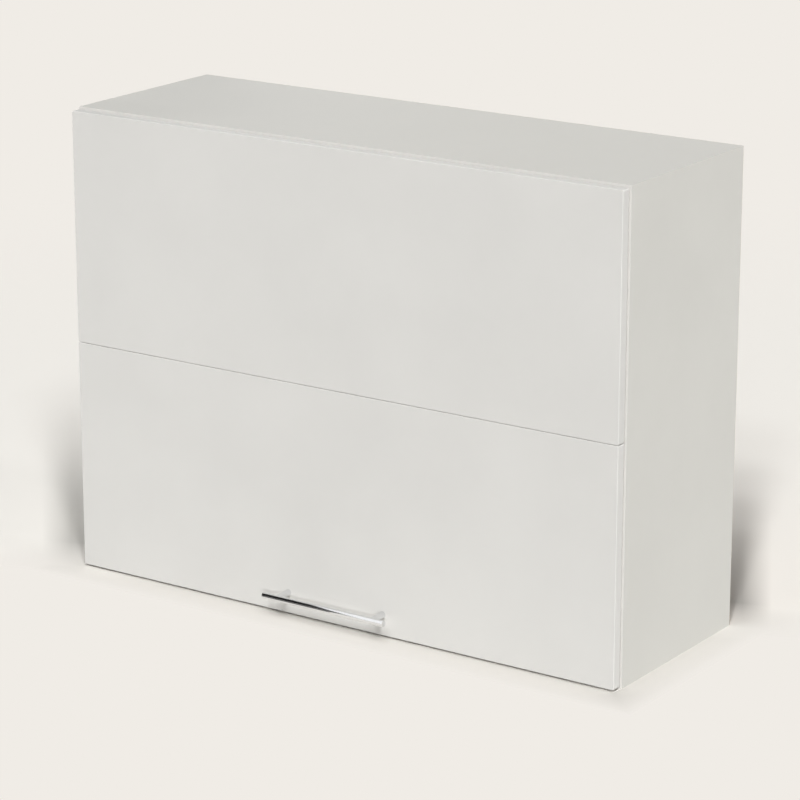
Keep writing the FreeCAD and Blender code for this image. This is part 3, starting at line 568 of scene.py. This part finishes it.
# soft shade beside the cabinet, deeper in the photograph than these lamps cast it, so it is laid on
# the floor along the lines of sight past the cabinet's left and right edges; middle to outer are
# slopes from the camera, leftDeep and rightDeep shares of light, starts to ends metres of depth
sideShade = {"right": (0.8254, 0.5645, 0.0), "middle": 0.00207, "half": 0.09885, "inner": -0.03,
             "full": 0.004, "outer": 0.013, "leftDeep": 0.38, "rightDeep": 0.56, "starts": 0.01,
             "deepest": 0.11, "ends": 0.90, "curve": 1.8}
sight = add(tree, "ShaderNodeVectorMath", minus, i0=place, i1=shot["place"])
sideways = add(tree, "ShaderNodeVectorMath", dot, i0=sight, i1=sideShade["right"]).outputs["Value"]
forward = add(tree, "ShaderNodeVectorMath", dot, i0=sight,
              i1=[-size for size in shot["back"]]).outputs["Value"]
slope = add(tree, "ShaderNodeMath", {"operation": "DIVIDE"}, i0=sideways, i1=forward)
turned = add(tree, "ShaderNodeMath", minus, i0=slope, i1=sideShade["middle"])
spread = add(tree, "ShaderNodeMath", positive, i0=turned)
past = add(tree, "ShaderNodeMath", minus, i0=spread, i1=sideShade["half"])
amount = add(tree, "ShaderNodeMapRange", Value=turned, From_Min=-sideShade["half"],
             From_Max=sideShade["half"], To_Min=sideShade["leftDeep"], To_Max=sideShade["rightDeep"])
fall = add(tree, "ShaderNodeMapRange", Value=depth, From_Min=sideShade["ends"],
           From_Max=sideShade["deepest"])
fall = add(tree, "ShaderNodeMath", {"operation": "POWER"}, i0=fall, i1=sideShade["curve"])
for value, start, end in ((past, sideShade["inner"], 0.0),
                          (past, sideShade["outer"], sideShade["full"]),
                          (depth, sideShade["starts"], sideShade["deepest"])):
    ramp = add(tree, "ShaderNodeMapRange", Value=value, From_Min=start, From_Max=end)
    fall = add(tree, "ShaderNodeMath", times, i0=fall, i1=ramp)
fall = add(tree, "ShaderNodeMath", times, i0=fall, i1=amount)
kept = add(tree, "ShaderNodeMath", minus, i0=1.0, i1=fall)
lit = add(tree, "ShaderNodeMix", colours, i0=kept, i6=(0, 0, 0, 1), i7=lit).outputs[2]

shade = add(tree, "ShaderNodeMix", colours, i0=seen, i6=ink(floorSheet["bounce"]), i7=lit)
matt = add(tree, "ShaderNodeBsdfDiffuse", Color=shade.outputs[2])
tone = add(tree, "ShaderNodeEmission", Color=ink(floorSheet["far"]), Strength=kept)
both = add(tree, "ShaderNodeMixShader", i0=even, i1=matt, i2=tone)
add(tree, "ShaderNodeOutputMaterial", Surface=both)
floorMesh.materials.append(paper)

# cards out of view that only the chrome mirrors: a black arch and floor strip on the left for the
# rod's dark streak, and a white arch round them that glows, though it is no lamp, to put a painted
# highlight at the rod's bright right end; they meet at the border, in degrees and metres from the
# centre
rodCards = {"x": -1.2, "centre": (-0.168, 0.033), "inner": 1.5, "wide": 2.5, "stripZ": 0.001,
            "black": "#0b0b0c", "white": 1.05,
            "border": [(4, 1.96), (20, 1.93), (35, 1.895), (50, 1.865), (70, 1.84), (90, 1.82),
                       (150, 1.80)],
            "strip": [(-0.19, -0.235), (-0.03, -0.235), (-1.15, -2.0), (-1.5, -2.0)]}
rows = {"inner": [], "border": [], "wide": []}
for degrees, reach in rodCards["border"]:
    a = math.radians(degrees)
    for row, radius in (("inner", rodCards["inner"]), ("border", reach), ("wide", rodCards["wide"])):
        rows[row].append((rodCards["x"], rodCards["centre"][0] - radius * math.cos(a),
                          rodCards["centre"][1] + radius * math.sin(a)))
n = len(rodCards["border"])
arch = [(i, i + 1, n + i + 1, n + i) for i in range(n - 1)]
stripCorners = [(x, y, rodCards["stripZ"]) for x, y in rodCards["strip"]]
stripFace = (2 * n, 2 * n + 1, 2 * n + 2, 2 * n + 3)
for name, corners, faces, glow in (
        ("black_card", rows["inner"] + rows["border"] + stripCorners, arch + [stripFace], 0.0),
        ("white_card", rows["border"] + rows["wide"], arch, rodCards["white"])):
    cardMesh = bpy.data.meshes.new(name)
    cardMesh.from_pydata(corners, [], faces)
    card = bpy.data.objects.new(name, cardMesh)
    scene.collection.objects.link(card)
    felt = bpy.data.materials.new(name)
    felt.use_nodes = True
    felt.node_tree.nodes.clear()
    face = add(felt.node_tree, "ShaderNodeBsdfPrincipled", Base_Color=ink(rodCards["black"]),
               Roughness=1.0, Emission_Color=(1, 1, 1, 1), Emission_Strength=glow)
    add(felt.node_tree, "ShaderNodeOutputMaterial", Surface=face)
    cardMesh.materials.append(felt)
    card.visible_camera = False
    card.visible_diffuse = False
    card.visible_shadow = False

# two tall narrow soft boxes, left and right of the camera, then low fills beside the camera, from
# the right and from behind: azimuth, elevation and share of each lamp; what is mirrored is the
# surround, so nothing glares
softBoxes = {"level": 0.82, "spread": 5.0,
             "lamps": [(23, 36, 0.150), (23, 43.5, 0.200), (23, 51, 0.185), (22, 60, 0.140),
                       (18, 69, 0.045), (45, 37, 0.130), (45.5, 43, 0.130), (46, 51, 0.095),
                       (47, 57, 0.090), (49, 66, 0.055), (56, 77, 0.030), (34.4, 12, 0.325),
                       (90, 8, 0.260), (214, 2, 0.600)]}
for azimuth, elevation, share in softBoxes["lamps"]:
    lamp = bpy.data.lights.new("lamp_%d_%d" % (azimuth, elevation), "SUN")
    lamp.energy = softBoxes["level"] * share * math.pi
    lamp.angle = math.radians(softBoxes["spread"])
    holder = bpy.data.objects.new(lamp.name, lamp)
    scene.collection.objects.link(holder)
    a, e = math.radians(azimuth), math.radians(elevation)
    way = Vector((math.sin(a) * math.cos(e), -math.cos(a) * math.cos(e), math.sin(e)))
    holder.rotation_euler = (-way).to_track_quat("-Z", "Y").to_euler()
    holder.visible_glossy = False

# surround: a little light from all round and more from behind the cabinet, up to the ceiling, and
# one tone for what is seen and mirrored
surround = {"all": 0.01, "behind": 0.02, "facing": (-0.5645, 0.8254, 0.0), "backFrom": -0.1,
            "backTo": 0.3, "ceilingFrom": 0.9, "ceilingTo": 0.6, "seen": "#efece6"}
world = bpy.data.worlds.new("surround")
scene.world = world
world.use_nodes = True
tree = world.node_tree
tree.nodes.clear()
way = add(tree, "ShaderNodeTexCoord").outputs["Generated"]
ahead = add(tree, "ShaderNodeVectorMath", dot, i0=way, i1=surround["facing"]).outputs["Value"]
back = add(tree, "ShaderNodeMapRange", Value=ahead, From_Min=surround["backFrom"],
           From_Max=surround["backTo"])
up = add(tree, "ShaderNodeSeparateXYZ", Vector=way).outputs["Z"]
low = add(tree, "ShaderNodeMapRange", Value=up, From_Min=surround["ceilingFrom"],
          From_Max=surround["ceilingTo"])
rear = add(tree, "ShaderNodeMath", times, i0=back, i1=low)
strength = add(tree, "ShaderNodeMath", timesPlus, i0=rear, i1=surround["behind"], i2=surround["all"])
light = add(tree, "ShaderNodeBackground", Color=(1, 1, 1, 1), Strength=strength)
pale = add(tree, "ShaderNodeBackground", Color=ink(surround["seen"]), Strength=1.0)
both = add(tree, "ShaderNodeMixShader", i0=seenRays(tree), i1=light, i2=pale)
add(tree, "ShaderNodeOutputWorld", Surface=both)
scene.view_settings.view_transform = "Standard"
print("camera, floor and light set")
